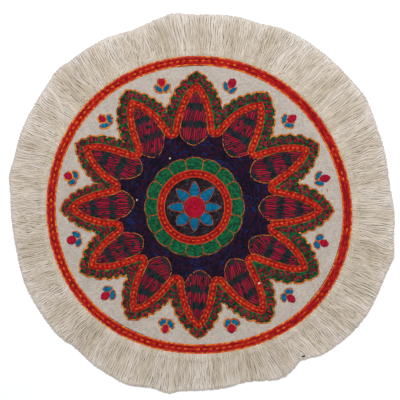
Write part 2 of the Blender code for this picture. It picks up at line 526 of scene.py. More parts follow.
petalCut = {
    "lean": 6.0,                # degrees that a side leans towards the leaf's axis where it starts
    "meet": 52.0,               # and where it meets the other side at the tip
    "startPull": 0.50,          # lengths of the side's two handles, as shares of the side
    "endPull": 0.20,
    "valleyHalf": 4.6 * mm,     # from the valley's own line to where the sides start
    "valleyDeep": 4.2 * mm,     # from there down to the valley's floor
    "floorPull": 5.8 * mm,      # length of the floor's handles
    "bandHalf": 3.7 * mm,       # from the bead line to either edge of the band
    "mitre": 1.13,              # reach of the moved line at the tip, in distances moved
    "sidePoints": 40, "floorPoints": 15, "basePoints": 21,
    "leafRound": 12.0 * mm,     # depth of a leaf's rounded base
    "leafPoint": (1.6, 0.72),   # its two powers: (2, 0.5) would be an ellipse's
    "leafRim": 30.0 * mm,       # how far up from its base the leaf has a rim
}
# Petals by the clock, 12 first: degrees away from the hour, and millimetres from the rosette's middle
petalChart = np.array([
    # tipOff tipReach leafOff leafReach valleyOff valleyReach edgeDepth
    (1.0, 125.2, -0.5, 64.0, 0.2, 78.5, 10.0),
    (2.7, 125.7, 5.0, 64.5, 2.5, 80.5, 10.0),
    (3.0, 129.8, 2.0, 66.5, 1.3, 82.0, 9.5),
    (1.4, 129.5, 0.5, 66.5, -0.5, 82.0, 9.5),
    (-1.2, 130.0, 0.5, 66.5, -2.1, 77.5, 11.0),
    (-3.1, 128.3, -3.5, 65.5, -2.0, 78.5, 9.0),
    (-2.0, 122.7, -5.0, 65.5, -1.0, 75.5, 8.2),
    (0.5, 122.7, -0.5, 60.0, 0.0, 75.0, 7.6),
    (0.5, 122.4, 0.5, 62.5, 0.0, 79.5, 8.6),
    (-0.5, 126.7, 4.5, 62.5, -0.9, 82.5, 7.4),
    (-1.5, 127.2, 2.5, 65.5, -2.1, 79.5, 7.8),
    (-1.0, 125.7, -6.5, 65.0, -1.7, 77.5, 9.6),
])
petals = len(petalChart)
hours = 30.0 * np.arange(petals)
halfHour = 15.0
petalTips = clockPlace(petalChart[:, 1] * mm, hours + petalChart[:, 0])
leafBases = clockPlace(petalChart[:, 3] * mm, hours + petalChart[:, 2])
leafAxes = unit(petalTips - leafBases)
valleyFloors = clockPlace(petalChart[:, 5] * mm, hours + halfHour + petalChart[:, 4])
valleyWays = unit(valleyFloors - motifMiddle)
edgeDepths = petalChart[:, 6] * mm


# Where a petal's side starts beside a valley, and the way it starts; side is 1 before the tip and -1 after
def sideStart(index, side):
    valley = index - 1 if side > 0 else index
    deep = petalCut["valleyDeep"] * valleyWays[valley]
    beside = side * petalCut["valleyHalf"] * leftOf(valleyWays[valley])
    return valleyFloors[valley] + deep - beside, clockwise(leafAxes[index], side * petalCut["lean"])


# One side of a petal's bead line, from its valley to its tip: a cubic curve that leaves the valley nearly
# along the leaf's axis and arrives slanting over it. The second array is the way out of the petal there.
def beadSide(index, side):
    tip = petalTips[index]
    begin, start = sideStart(index, side)
    run = np.linalg.norm(tip - begin)
    first = begin + petalCut["startPull"] * run * start
    second = tip - petalCut["endPull"] * run * clockwise(leafAxes[index], side * petalCut["meet"])
    line = cubicLine(begin, first, second, tip, petalCut["sidePoints"])
    return line, side * leftOf(unit(np.gradient(line, axis=0)))


# Both sides going clockwise, each with the way out at every point
def petalSides(index):
    left, leftOut = beadSide(index, 1.0)
    right, rightOut = beadSide(index, -1.0)
    return (left, leftOut), (right[::-1], rightOut[::-1])


# Floor of the valley after a petal: a cubic curve that carries one side round into the next
def valleyFloor(index):
    begin, start = sideStart(index, -1.0)
    end, leave = sideStart((index + 1) % petals, 1.0)
    pull = petalCut["floorPull"]
    line = cubicLine(begin, begin - pull * start, end - pull * leave, end, petalCut["floorPoints"])
    return line, leftOf(unit(np.gradient(line, axis=0)))


# The two sides of a petal moved in by a distance, cut off where they meet on the leaf's axis
def innerSides(index, inset):
    (left, leftOut), (right, rightOut) = petalSides(index)
    left = left - inset * leftOut
    right = right - inset * rightOut
    left = left[crossOf(leafAxes[index], left - leafBases[index]) > 0.0]
    right = right[crossOf(leafAxes[index], right - leafBases[index]) < 0.0]
    return left, right


# A closed line that follows all the petals and valleys at one distance inside the bead line
def petalLoop(inset):
    stretches = []
    for index in range(petals):
        floor, floorOut = valleyFloor(index)
        stretches += [*innerSides(index, inset), floor - inset * floorOut]
    return np.concatenate(stretches)


# One petal's bead line moved out by a distance, from valley to valley; its tip is a blunted mitre
def outerPetal(index, distance):
    (left, leftOut), (right, rightOut) = petalSides(index)
    before, beforeOut = valleyFloor(index - 1)
    after, afterOut = valleyFloor(index)
    half = petalCut["floorPoints"] // 2
    mitre = petalCut["mitre"] * leafAxes[index]
    line = np.concatenate([before[half:-1], left, petalTips[index][None], right, after[1:half + 1]])
    way = np.concatenate([beforeOut[half:-1], leftOut, mitre[None], rightOut, afterOut[1:half + 1]])
    return line + distance * way, way


# True between the two valley lines of a petal, or beyond them by no more than the slack
def ownSector(index, points, slack=0.0):
    away = points - motifMiddle
    return (crossOf(valleyWays[index - 1], away) < slack) & (crossOf(valleyWays[index], away) > -slack)


# The bead lines of all petals moved out by a distance, as one closed line
def outerLoop(distance):
    lines = [outerPetal(index, distance)[0] for index in range(petals)]
    return np.concatenate([line[ownSector(index, line)] for index, line in enumerate(lines)])


# Outline of a leaf: the inside of its band, run on straight, and closed by a base whose depth grows as
# (1 - |a|^first)^second from its shoulders. The second line is only the rim round its lower part.
def leafOutline(index):
    left, right = innerSides(index, petalCut["bandHalf"])
    half = 0.5 * (right[-1] - left[0])
    deep = petalCut["leafRound"] * leafAxes[index]
    across = np.cos(np.linspace(0.0, np.pi, petalCut["basePoints"]))[:, None]
    first, second = petalCut["leafPoint"]
    base = leafBases[index] + deep + half * across - deep * (1.0 - np.abs(across) ** first) ** second
    low = [(line - leafBases[index]) @ leafAxes[index] < petalCut["leafRim"] for line in (left, right)]
    return np.concatenate([left, right, base]), np.concatenate([right[low[1]], base, left[low[0]]])


print("sewing the ring border")
ringBorder = {
    "inset": 4.8 * mm,          # from the cut edge to the outside of the border, on average
    "shift": 0.65 * mm,         # the ring sits off the cloth's middle this far, this way
    "shiftTo": 285.0,
    "points": 720,
    "outline": stitches(2.3, 3.8, 1.9, 0.85, slant=0.16), "outlineAt": (0.55 * mm, 9.05 * mm),
    "rope": stitches(2.6, 4.0, 2.7, 1.1, slant=-0.22, tone=(0.0, 0.7)), "ropeAt": (2.65 * mm, 7.05 * mm),
    "bead": stitches(3.3, 4.8, 2.4, 1.25, tone=(0.05, 0.6)), "beadAt": 4.85 * mm,
    "whip": stitches(3.7, 3.8, 0.65, 0.5), "whipAt": 10.1 * mm,
    "whipArcs": ((-42.0, -14.0), (231.0, 247.0), (88.0, 99.0)),     # degrees counted from +X towards +Y
    "redArcs": ((-20.0, 38.0), (51.0, 16.0)),       # middle and spread of the arcs that are nearly all red
    "redShare": 0.85,
}
beadRedTone = (0.0, 0.8)


def ringInset(angle):
    return ringBorder["inset"] - ringBorder["shift"] * np.cos(angle - np.radians(ringBorder["shiftTo"]))


def ringLine(inset, arc=(0.0, 360.0)):
    angle = np.radians(np.linspace(*arc, ringBorder["points"], endpoint=False))
    return onCloth(clothEdge(angle) - ringInset(angle) - inset, angle)


# Share of the middle row that is orange: nearly none on the right and upper right
def orangeShare(angle):
    red = sum(bell(np.degrees(angle), *arc) for arc in ringBorder["redArcs"])
    return 1.0 - ringBorder["redShare"] * red


# A band: its outlines, the ropes within them and a row of beads between, each on the line at its place.
# Every second bead is orange where the share allows it, and the others are red.
def sewBand(band, lineAt, outlinePiece, orangePiece, redPiece, shareAt=None):
    for row, piece in (("outline", outlinePiece), ("rope", redPiece)):
        for place in band[row + "At"]:
            sewRow(piece, lineAt(place), band[row])
    bead = band["bead"]
    middles, heading = alongLine(lineAt(band["beadAt"]), bead["pitch"])
    isOrange = np.arange(len(middles)) % 2 == 0
    if shareAt is not None:
        isOrange &= dice.uniform(0.0, 1.0, len(middles)) < shareAt(headingOf(middles - clothMiddle))
    sewAt(orangePiece, middles[isOrange], heading[isOrange], bead)
    sewAt(redPiece, middles[~isOrange], heading[~isOrange], {**bead, "tone": beadRedTone})


sewBand(ringBorder, ringLine, "ringBorderOrange", "ringBorderOrange", "ringBorderRed", orangeShare)
for arc in ringBorder["whipArcs"]:
    sewRow("ringWhip", ringLine(ringBorder["whipAt"], arc), ringBorder["whip"], closed=False)

print("sewing the petal band")
petalBand = {
    # places are distances out from the bead line, and negative ones are inside it
    "outline": stitches(2.2, 3.4, 1.2, 0.75, slant=0.16), "outlineAt": (3.3 * mm, -3.3 * mm),
    "rope": stitches(2.3, 3.6, 2.2, 1.1, slant=-0.22, tone=(0.0, 0.85)), "ropeAt": (1.85 * mm, -1.85 * mm),
    "bead": stitches(2.45, 4.0, 2.4, 1.3, tone=(0.0, 0.55)), "beadAt": 0.0,
}


def bandLine(distance):
    return outerLoop(distance) if distance > 0.0 else petalLoop(-distance)


sewBand(petalBand, bandLine, "petalBandRust", "petalBandOrange", "petalBandRed")

print("sewing the green edge")
greenEdge = {
    "scallopWidth": 7.8 * mm, "scallopRise": 3.0 * mm, "scallopPower": 0.6,
    "sideShare": 1.14,          # how deep the edge is along the sides, as a share of its depth at the tip
    "tipSpread": 12.0 * mm,
    "wander": 1.6 * mm, "wanderRun": 9.0 * mm, "wanderTurn": 2.0,   # how unevenly the scallops follow on
    "fill": stitches(2.5, 3.8, 2.3, 0.85, slant=0.3, tone=(0.18, 0.95), apart=1.7),
    "outline": stitches(2.1, 3.4, 2.1, 0.9),
    "dashRows": (0.33, 0.64),   # shares of the depth
    "dash": stitches(4.0, 4.5, 2.15, 0.8, lift=0.5),
    "dashStart": 0.25, "dashSway": 0.6, "dashPlay": 0.7 * mm,
    "fillClear": 0.4 * mm, "dashClear": 1.2 * mm,   # from the scalloped line
    "slack": 0.35 * mm, "bandSlack": 0.2 * mm, "overlap": 0.9 * mm,
}


# Distance from points to a petal's bead line, and the depth of the green edge all along that line. Its
# scallops take rise * (1 - |cos(pi * run / width)|^power) off; run counts from the tip and wanders.
def fromBead(index, points):
    line = outerPetal(index, 0.0)[0]
    run = runAlong(line)
    run -= run[petalCut["floorPoints"] // 2 + petalCut["sidePoints"]]
    side = greenEdge["sideShare"]
    share = side + (1.0 - side) * np.exp(-(run / greenEdge["tipSpread"]) ** 2)
    run += greenEdge["wander"] * np.sin(run / greenEdge["wanderRun"] + greenEdge["wanderTurn"] * index)
    wave = np.abs(np.cos(np.pi * run / greenEdge["scallopWidth"])) ** greenEdge["scallopPower"]
    depth = edgeDepths[index] * share - greenEdge["scallopRise"] * (1.0 - wave)
    return lengthOf(points[:, None] - line).min(axis=1), depth


# The scalloped line beside a petal, moved in by a distance, and how far its points are from the bead line
def scallopLine(index, inset=0.0):
    line, way = outerPetal(index, 0.0)
    depth = petalCut["bandHalf"] + fromBead(index, line)[1] - inset
    return line + depth[:, None] * way, depth


# The part of the scalloped line that shows, between the petal's two valley lines
def scallopedPetal(index):
    outline, depth = scallopLine(index)
    clear = fromBead(index, outline)[0] > depth - greenEdge["slack"]
    return outline[clear & ownSector(index, outline)]


# True on a petal's green edge: its own side of the valley lines, outside its band and inside its scallops
def onGreenEdge(index, points, inset=0.0):
    within = insideOutline(points, np.vstack([scallopLine(index, inset)[0], motifMiddle]))
    beyond = ~insideOutline(points, outerPetal(index, 0.0)[0])
    apart = fromBead(index, points)[0] > petalCut["bandHalf"] - greenEdge["bandSlack"]
    return within & beyond & apart & ownSector(index, points, greenEdge["overlap"])


# Stitch places on a line some way out from a petal's bead line, where that line isn't crowded in a valley
def edgePlaces(index, away, pitch, start):
    middles, heading = alongLine(outerPetal(index, away)[0], pitch, False, start)
    return middles, heading, fromBead(index, middles)[0] > away - greenEdge["slack"]


def sewGreenEdge():
    fill, dash = greenEdge["fill"], greenEdge["dash"]
    for index in range(petals):
        sewRow("greenEdgeOrange", scallopedPetal(index), greenEdge["outline"], closed=False)
        for row in range(int(np.ceil(edgeDepths[index] / fill["apart"]))):
            away = petalCut["bandHalf"] + (row + 0.5) * fill["apart"]
            middles, heading, clear = edgePlaces(index, away, fill["pitch"], 0.5 * (row % 2))
            kept = clear & onGreenEdge(index, middles, greenEdge["fillClear"])
            sewAt("greenEdgeFill", middles[kept], heading[kept], fill)
        for row, share in enumerate(greenEdge["dashRows"]):
            away = petalCut["bandHalf"] + share * edgeDepths[index]
            start = greenEdge["dashStart"] + 0.5 * row
            middles, heading, clear = edgePlaces(index, away, dash["pitch"], start)
            middles = middles + dice.normal(0.0, greenEdge["dashPlay"], middles.shape)
            kept = clear & onGreenEdge(index, middles, greenEdge["dashClear"])
            sway = dice.uniform(-1.0, 1.0, kept.sum()) * greenEdge["dashSway"]
            heading = heading[kept] + 0.5 * np.pi + sway
            sew("greenEdgeRed", middles[kept], heading, dash["size"], None, dash["lift"])


sewGreenEdge()

print("sewing the leaves")
leaf = {
    "halfWidth": 16.0 * mm,
    "ground": stitches(4.2, 5.8, 2.2, 0.7, apart=1.7), "alongPlay": 0.12, "acrossPlay": 0.08,
    "groundClear": 0.38, "groundTone": (0.0, 0.6),
    "redShare": 0.4, "redTone": (0.55, 1.0),        # of the ground under the dashes
    "dashPitch": 2.3 * mm, "dashWidth": 1.5 * mm, "dashRise": 0.8 * mm, "dashLift": 0.35 * mm,
    "dashTone": (0.3, 1.15), "dashPlay": 0.15, "dashReach": 0.4, "dashPoints": 61, "dashTrim": 0.12,
    "shortest": 3.0 * mm, "break": 1.3 * mm, "broken": 0.3, "breakAt": (0.35, 0.65),
    "groups": ((0.06, 0.36), (0.41, 0.69), (0.76, 0.98)),       # shares of the way from base to tip
    "outline": stitches(1.6, 3.0, 0.85, 0.7, lift=0.1),
}
# Slant of the dashes in each group, base first, in degrees clockwise from the leaf's axis
leafSlants = np.array([
    (5, 10, 0), (40, 8, -20), (22, 15, 30), (6, 5, 0), (20, -2, -18), (22, 0, -25),
    (5, 0, 0), (35, -5, -22), (25, 8, -5), (0, -2, 0), (-5, -8, -25), (28, 18, -3),
])


# Ground stitches in parallel columns are dark teal between the groups, and partly dark red under them
def sewLeafGround(index, outline, run):
    axis, ground = leafAxes[index], leaf["ground"]
    half = int(leaf["halfWidth"] / ground["apart"])
    column = np.arange(-half, half + 1)[:, None]
    place = np.arange(int(run / ground["pitch"]) + 1)
    shape = (len(column), len(place))
    along = place + 0.5 * (column % 2) + dice.uniform(-leaf["alongPlay"], leaf["alongPlay"], shape)
    across = column + dice.uniform(-leaf["acrossPlay"], leaf["acrossPlay"], shape)
    along, across = along.reshape(-1, 1) * ground["pitch"], across.reshape(-1, 1) * ground["apart"]
    middles = leafBases[index] + along * axis + across * leftOf(axis)
    ends = leaf["groundClear"] * ground["size"][0] * axis
    kept = insideOutline(middles + ends, outline) & insideOutline(middles - ends, outline)
    share, count = along[kept, 0] / run, kept.sum()
    redder = np.any([(share > start) & (share < end) for start, end in leaf["groups"]], axis=0)
    redder &= dice.uniform(0.0, 1.0, count) < leaf["redShare"]
    red, teal = (dice.uniform(*leaf[tone], count) for tone in ("redTone", "groundTone"))
    sew("leafGround", middles[kept], headingOf(axis), ground["size"], np.where(redder, red, teal))


# One group of dashes: each column's dash runs as far as the outline and the group let it; some are broken
def sewLeafDashes(index, outline, run, group, slant):
    axis, low, high = leafAxes[index], *group
    way = clockwise(axis, slant)
    middle = leafBases[index] + 0.5 * (low + high) * run * axis
    half = int(leaf["halfWidth"] / leaf["dashPitch"]) + 1
    columns = np.arange(-half, half + 1) + dice.uniform(-leaf["dashPlay"], leaf["dashPlay"], 2 * half + 1)
    columns = columns * leaf["dashPitch"]
    along = np.linspace(-leaf["dashReach"], leaf["dashReach"], leaf["dashPoints"]) * run
    places = middle + along[None, :, None] * way + columns[:, None, None] * leftOf(way)
    share = (places - leafBases[index]) @ axis / run
    inside = insideOutline(places.reshape(-1, 2), outline).reshape(share.shape)
    inside &= (share > low) & (share < high)
    first = np.where(inside, along, np.inf).min(axis=1)
    last = np.where(inside, along, -np.inf).max(axis=1)
    columns, first, last = (column[last - first > leaf["shortest"]] for column in (columns, first, last))
    trim = dice.uniform(0.0, leaf["dashTrim"], (2, len(first))) * (last - first)
    first, last = first + trim[0], last - trim[1]
    cut = first + dice.uniform(*leaf["breakAt"], len(first)) * (last - first)
    broken = dice.uniform(0.0, 1.0, len(first)) < leaf["broken"]
    starts = np.concatenate([first, cut[broken] + 0.5 * leaf["break"]])
    ends = np.concatenate([np.where(broken, cut - 0.5 * leaf["break"], last), last[broken]])
    columns = np.concatenate([columns, columns[broken]])
    middles = middle + 0.5 * (starts + ends)[:, None] * way + columns[:, None] * leftOf(way)
    sew("leafRed", middles, headingOf(way), (ends - starts, leaf["dashWidth"], leaf["dashRise"]),
        dice.uniform(*leaf["dashTone"], len(middles)), leaf["dashLift"])


def sewLeaves():
    for index in range(petals):
        outline, base = leafOutline(index)
        run = (outline - leafBases[index]) @ leafAxes[index]
        sewLeafGround(index, outline, run.max())
        for group, slant in zip(leaf["groups"], leafSlants[index]):
            sewLeafDashes(index, outline, run.max(), group, slant)
        sewRow("leafOutline", base, leaf["outline"], closed=False)


sewLeaves()

print("sewing the navy ground")
navyGround = {
    "inner": 52.0 * mm, "outer": 93.0 * mm, "patch": 9.0 * mm,
    "fill": stitches(2.7, 3.9, 2.3, 0.8, slant=0.25, apart=1.75),
}
patchForm = {
    "waves": ((1.3, 0.7, 0.4), (-1.1, 0.9, 2.1), (2.1, 1.7, 0.0)),  # along x, along y, turn
    "middle": 0.47, "height": 0.10, "play": 0.26,
}


# Wandering patches between 0 and 1 that make neighbouring stitches share a dye lot: a sum of plane waves
def patchTone(points, size):
    x, y = (points - motifMiddle).T / size
    wave = sum(np.sin(alongX * x + alongY * y + turn) for alongX, alongY, turn in patchForm["waves"])
    play = dice.normal(0.0, patchForm["play"], len(points))
    return np.clip(patchForm["middle"] + patchForm["height"] * wave + play, 0.0, 1.0)


# Stitch places on rings round the rosette's middle, each ring started anew
def concentricPlaces(inner, outer, row):
    middles, headings = [], []
    for reach in np.arange(inner + 0.5 * row["apart"], outer, row["apart"]):
        count = max(int(fullTurn * reach / row["pitch"]), 3)
        turn = (np.arange(count) + dice.uniform(0.0, 1.0)) * 360.0 / count
        middles.append(clockPlace(reach, turn))
        headings.append(np.radians(-turn))
    return np.concatenate(middles), np.concatenate(headings)


def sewNavyGround():
    fill = navyGround["fill"]
    middles, heading = concentricPlaces(navyGround["inner"], navyGround["outer"], fill)
    kept = insideOutline(middles, petalLoop(petalCut["bandHalf"]))
    for index in range(petals):
        kept &= ~insideOutline(middles, leafOutline(index)[0])
    middles, heading = middles[kept], heading[kept] + fill["slant"]
    sew("navyGround", middles, heading, fill["size"], patchTone(middles, navyGround["patch"]))


sewNavyGround()

print("sewing the middle")
middleRing = {
    "scallops": 16, "scallopPoints": 360, "spokePoints": 6,
    "scallopIn": 38.9 * mm, "scallopOut": 51.6 * mm, "scallopNotch": 3.2 * mm,
    "under": 0.2 * mm, "clear": 0.6 * mm,           # the filling starts under the ring and stops short
    "fill": stitches(2.4, 3.3, 2.1, 0.95, apart=1.55),
    "edge": stitches(2.1, 3.1, 1.15, 0.85, tone=(0.4, 1.0)),
    "spoke": stitches(2.1, 3.1, 1.05, 0.85, tone=(0.4, 1.0), lift=0.3),
    "outline": stitches(2.1, 3.1, 1.35, 0.9, tone=(0.0, 0.4)), "outlineAt": (38.2 * mm, 31.3 * mm),
    "rope": stitches(2.4, 3.4, 2.1, 1.05, slant=-0.2, tone=(0.0, 0.75)), "ropeAt": (36.7 * mm, 32.8 * mm),
    "bead": stitches(2.6, 3.6, 2.1, 1.2, tone=(0.0, 0.45)), "beadAt": 34.75 * mm,
}


def circleLine(reach, points=180):
    return clockPlace(reach, np.linspace(0.0, 360.0, points, endpoint=False))


# Outer edge of the scalloped ring: within each scallop the reach drops by notch * |a|^3 from its middle
def scallopReach(turn):
    a = ((turn / 360.0 * middleRing["scallops"]) + 0.5) % 1.0 * 2.0 - 1.0
    return middleRing["scallopOut"] - middleRing["scallopNotch"] * np.abs(a) ** 3


def sewScallops():
    inner, outer, fill = middleRing["scallopIn"], middleRing["scallopOut"], middleRing["fill"]
    middles, heading = concentricPlaces(inner - middleRing["under"], outer, fill)
    away = middles - motifMiddle
    turn = np.degrees(np.arctan2(away[:, 0], away[:, 1]))
    kept = lengthOf(away) < scallopReach(turn) - middleRing["clear"]
    sew("scallopGreen", middles[kept], heading[kept], fill["size"])
    turns = np.linspace(0.0, 360.0, middleRing["scallopPoints"], endpoint=False)
    sewRow("middleRust", clockPlace(scallopReach(turns), turns), middleRing["edge"])
    reaches = np.linspace(inner, outer - middleRing["scallopNotch"], middleRing["spokePoints"])
    for spoke in (np.arange(middleRing["scallops"]) + 0.5) * 360.0 / middleRing["scallops"]:
        sewRow("middleRust", clockPlace(reaches, spoke), middleRing["spoke"], closed=False)


star = {
    "discReach": 30.6 * mm, "redReach": 11.2 * mm, "petalBase": 11.6 * mm,
    "tips": (26.9, 28.8, 27.4, 25.9, 24.9, 25.9, 28.0, 26.4),       # mm, clockwise from the far side
    "halves": (6.1, 5.8, 5.2, 6.1, 5.2, 6.1, 5.2, 5.9),             # mm, widest half width of each petal
    "fullness": (1.9, 2.1, 2.5, 3.8, 2.4, 3.8, 2.4, 2.1),           # how blunt each petal is
    "tipPower": 0.85,
    "waist": 0.3, "waistPower": 8,                  # how much narrower a petal is at its very base
    "points": 14,
    "disc": stitches(2.5, 3.5, 2.1, 0.75, apart=1.6), "patch": 5.0 * mm,
    "heart": stitches(2.3, 3.3, 2.1, 0.95, tone=(0.3, 0.8), lift=0.3, apart=1.5),
    "satin": stitches(1.1, 0.0, 1.9, 0.8, tone=(0.3, 0.7), lift=0.25),
    "satinStart": 0.4, "satinOver": 0.4 * mm,       # the first stitch, and how far each covers the outline
    "outline": stitches(2.0, 2.9, 0.9, 0.8, tone=(0.2, 0.9), lift=0.3),
    "heartOutline": stitches(2.0, 2.9, 1.0, 0.7, tone=(0.4, 1.0), lift=0.6),
}


# Petal of the star: the way it points, its length, and points on its spine at shares of the length
def starPetal(index, share):
    out = clockwise(np.array([0.0, 1.0]), 360.0 * index / len(star["tips"]))
    run = star["tips"][index] * mm - star["petalBase"]
    return out, run, motifMiddle + (star["petalBase"] + share[:, None] * run) * out


# Half width of a star petal: half * (1 - share^fullness)^tipPower * (1 - waist * (1 - share)^waistPower),
# fullest a little above its base and pointed at its tip
def starHalfWidth(index, share):
    waist = 1.0 - star["waist"] * (1.0 - share) ** star["waistPower"]
    blunt = (1.0 - share ** star["fullness"][index]) ** star["tipPower"]
    return star["halves"][index] * mm * blunt * waist


def starOutline(index):
    share = np.linspace(0.0, 1.0, star["points"])
    out, run, spine = starPetal(index, share)
    half = starHalfWidth(index, share)[:, None] * leftOf(out)
    return np.concatenate([spine + half, (spine - half)[::-1]])


def sewStar():
    outlines = [starOutline(index) for index in range(len(star["tips"]))]
    satin, disc, heart = star["satin"], star["disc"], star["heart"]
    for index, outline in enumerate(outlines):
        run = starPetal(index, np.zeros(1))[1]
        share = (np.arange(int(run / satin["pitch"])) + star["satinStart"]) * satin["pitch"] / run
        out, run, places = starPetal(index, share)
        lengths = 2.0 * starHalfWidth(index, share) + star["satinOver"]
        sewSatin("starBlue", places, headingOf(leftOf(out)), lengths, satin)
        sewRow("middleRust", outline, star["outline"], closed=False)
    middles, heading = concentricPlaces(star["redReach"], star["discReach"], disc)
    kept = ~np.any([insideOutline(middles, outline) for outline in outlines], axis=0)
    sew("discBlack", middles[kept], heading[kept], disc["size"], patchTone(middles[kept], star["patch"]))
    sewAt("heartRed", *concentricPlaces(0.0, star["redReach"], heart), heart)
    sewRow("middleRust", circleLine(star["redReach"]), star["heartOutline"])


sewScallops()
sewBand(middleRing, circleLine, "middleOrange", "middleOrange", "middleRed")
sewStar()

print("sewing the sprigs")
sprig = {
    "budOut": 4.2 * mm, "leafIn": 2.0 * mm, "leafSide": 4.0 * mm,
    "satin": stitches(1.1, 0.0, 1.9, 0.9, tone=(0.25, 0.8)), "satinOver": 0.3 * mm, "padRise": 0.75 * mm,
    "rim": stitches(1.9, 3.2, 1.2, 0.7), "rimMore": 1.0 * mm, "rimFrom": 0.95, "outlinePoints": 29,
    "bare": 0.92,               # a leaf has no rim nearer to the bud than this share of its own place
    "grown": 0.6 * mm,          # from the filling to the middle of the outline
}
# Sprigs between the petals: place, twist of the whole sprig, sizes in mm, and how far each leaf turns
# outwards. rim is the share of the bud's outer end that is rimmed; rims are thicker where it is large.
sprigChart = np.array([
    # turnOff reach twist budLong budWide leafLong leafWide leftTurn rightTurn rim
    (1.5, 130.0, 12.0, 10.0, 9.6, 8.5, 4.5, 42.0, 31.0, 0.0),
    (2.5, 132.0, 8.0, 10.4, 8.1, 9.2, 5.5, 37.0, 39.0, 0.5),
    (2.5, 134.0, 3.0, 11.0, 8.1, 8.9, 5.0, 50.0, 20.0, 0.2),
    (0.5, 135.0, 4.0, 9.2, 8.5, 7.7, 5.7, 41.0, 34.0, 0.0),
    (-1.5, 133.5, -3.0, 9.6, 8.5, 8.1, 6.1, 40.0, 38.0, 0.3),
    (-2.5, 127.5, 15.0, 8.9, 8.1, 8.1, 5.9, 60.0, 22.0, 0.8),
    (-1.5, 125.5, 0.0, 9.2, 6.7, 8.4, 6.0, 48.0, 28.0, 0.9),
    (0.0, 126.0, 5.0, 9.6, 8.5, 9.2, 5.5, 43.0, 33.0, 0.0),
    (0.0, 127.5, 0.0, 9.6, 9.2, 8.1, 5.7, 48.0, 48.0, 0.0),
    (-1.5, 130.5, 10.0, 8.5, 8.1, 7.4, 5.8, 62.0, 40.0, 0.8),
    (-1.0, 128.0, -10.0, 8.5, 6.7, 9.2, 5.4, 50.0, 42.0, 1.0),
    (0.0, 129.0, 8.0, 8.1, 7.4, 8.9, 5.6, 48.0, 39.0, 1.0),
])


# An oval of satin stitches laid across it over a pad: each reaches from edge to edge, which is
# width * sqrt(1 - (x/half)^2). Returns the line of its outline, which starts at its inner end.
def sewOval(piece, middle, long, wide, out):
    half = 0.5 * long
    satin = sprig["satin"]
    count = int(long / satin["pitch"])
    x = (np.arange(count) + 0.5) / count * long - half
    lengths = wide * np.sqrt(1.0 - (x / half) ** 2) + sprig["satinOver"]
    sew(piece, middle[None], headingOf(out), (long, wide, sprig["padRise"]), 0.5)
    sewSatin(piece, middle + x[:, None] * out, headingOf(leftOf(out)), lengths, satin)
    angle = np.linspace(0.0, fullTurn, sprig["outlinePoints"])[:, None]
    grownHalf, grownWide = half + sprig["grown"], 0.5 * wide + sprig["grown"]
    return middle - grownHalf * np.cos(angle) * out + grownWide * np.sin(angle) * leftOf(out)


def sewSprigs():
    for index, row in enumerate(sprigChart):
        turnOff, reach, twist, budLong, budWide, leafLong, leafWide, leftTurn, rightTurn, rim = row
        middle = clockPlace(reach * mm, hours[index] + halfHour + turnOff)
        out = clockwise(unit(middle - motifMiddle), twist)
        bud = middle + sprig["budOut"] * out
        outline = sewOval("sprigRed", bud, budLong * mm, budWide * mm, out)
        long, wide, rise = sprig["rim"]["size"]
        rimRow = {**sprig["rim"], "size": (long, wide + rim * sprig["rimMore"], rise)}
        half = sprig["outlinePoints"] // 2
        for end in (outline[:half + 1], outline[:half - 1:-1]):
            reachOut = (end - bud) @ out / (0.5 * budLong * mm)
            sewRow("sprigOrange", end[reachOut < 2.0 * rim - sprig["rimFrom"]], rimRow, closed=False)
        for side, turn in ((1.0, leftTurn), (-1.0, rightTurn)):
            place = middle - sprig["leafIn"] * out + side * sprig["leafSide"] * leftOf(out)
            way = clockwise(out, -side * turn)
            outline = sewOval("sprigBlue", place, leafLong * mm, leafWide * mm, way)
            near = sprig["bare"] * lengthOf(place - bud)
            sewRow("sprigOrange", outline, rimRow, keep=lambda rims: lengthOf(rims - bud) > near)


sewSprigs()

# Stray bits of wool: place from the middle of the box in mm, size in mm, heading in degrees, and the wool
strayChart = (
    (59.6, -82.4, 3.2, 2.4, 20.0, "strayPale"),
    (-32.6, 46.6, 2.4, 1.8, 60.0, "strayPale"),
    (-66.8, 3.6, 2.2, 1.6, 80.0, "strayPale"),
    (-31.6, 115.5, 2.2, 1.4, 30.0, "strayOrange"),
    (130.0, 14.0, 2.6, 1.4, 75.0, "strayOrange"),
    (81.0, 134.0, 2.4, 1.6, 40.0, "strayOrange"),
    (105.5, -158.0, 3.4, 1.5, 10.0, "strayBlue"),
)
strayForm = {"rise": 1.3 * mm, "tone": 0.6, "lift": 0.5 * mm}


def sewStrays():
    for x, y, long, wide, turn, piece in strayChart:
        size = (long * mm, wide * mm, strayForm["rise"])
        sew(piece, np.array([[x, y]]) * mm, np.radians(turn), size, strayForm["tone"], strayForm["lift"])


sewStrays()

stitchPieces = [makeStitches(name, wools[wool]) for name, wool in (
    ("ringBorderRed", "redWool"), ("ringBorderOrange", "orangeWool"), ("ringWhip", "navyWool"),
    ("petalBandRed", "redWool"), ("petalBandOrange", "orangeWool"), ("petalBandRust", "rustWool"),
    ("greenEdgeFill", "greenWool"), ("greenEdgeRed", "maroonWool"), ("greenEdgeOrange", "amberWool"),
    ("leafGround", "leafWool"), ("leafRed", "maroonWool"), ("leafOutline", "amberWool"),
    ("navyGround", "navyWool"), ("scallopGreen", "scallopWool"), ("middleOrange", "orangeWool"),
    ("middleRust", "rustWool"), ("middleRed", "redWool"), ("heartRed", "crimsonWool"),
    ("starBlue", "blueWool"), ("discBlack", "blackWool"), ("sprigRed", "crimsonWool"),
    ("sprigBlue", "blueWool"), ("sprigOrange", "amberWool"), ("strayPale", "fringeWool"),
    ("strayOrange", "orangeWool"), ("strayBlue", "navyWool"),
)]

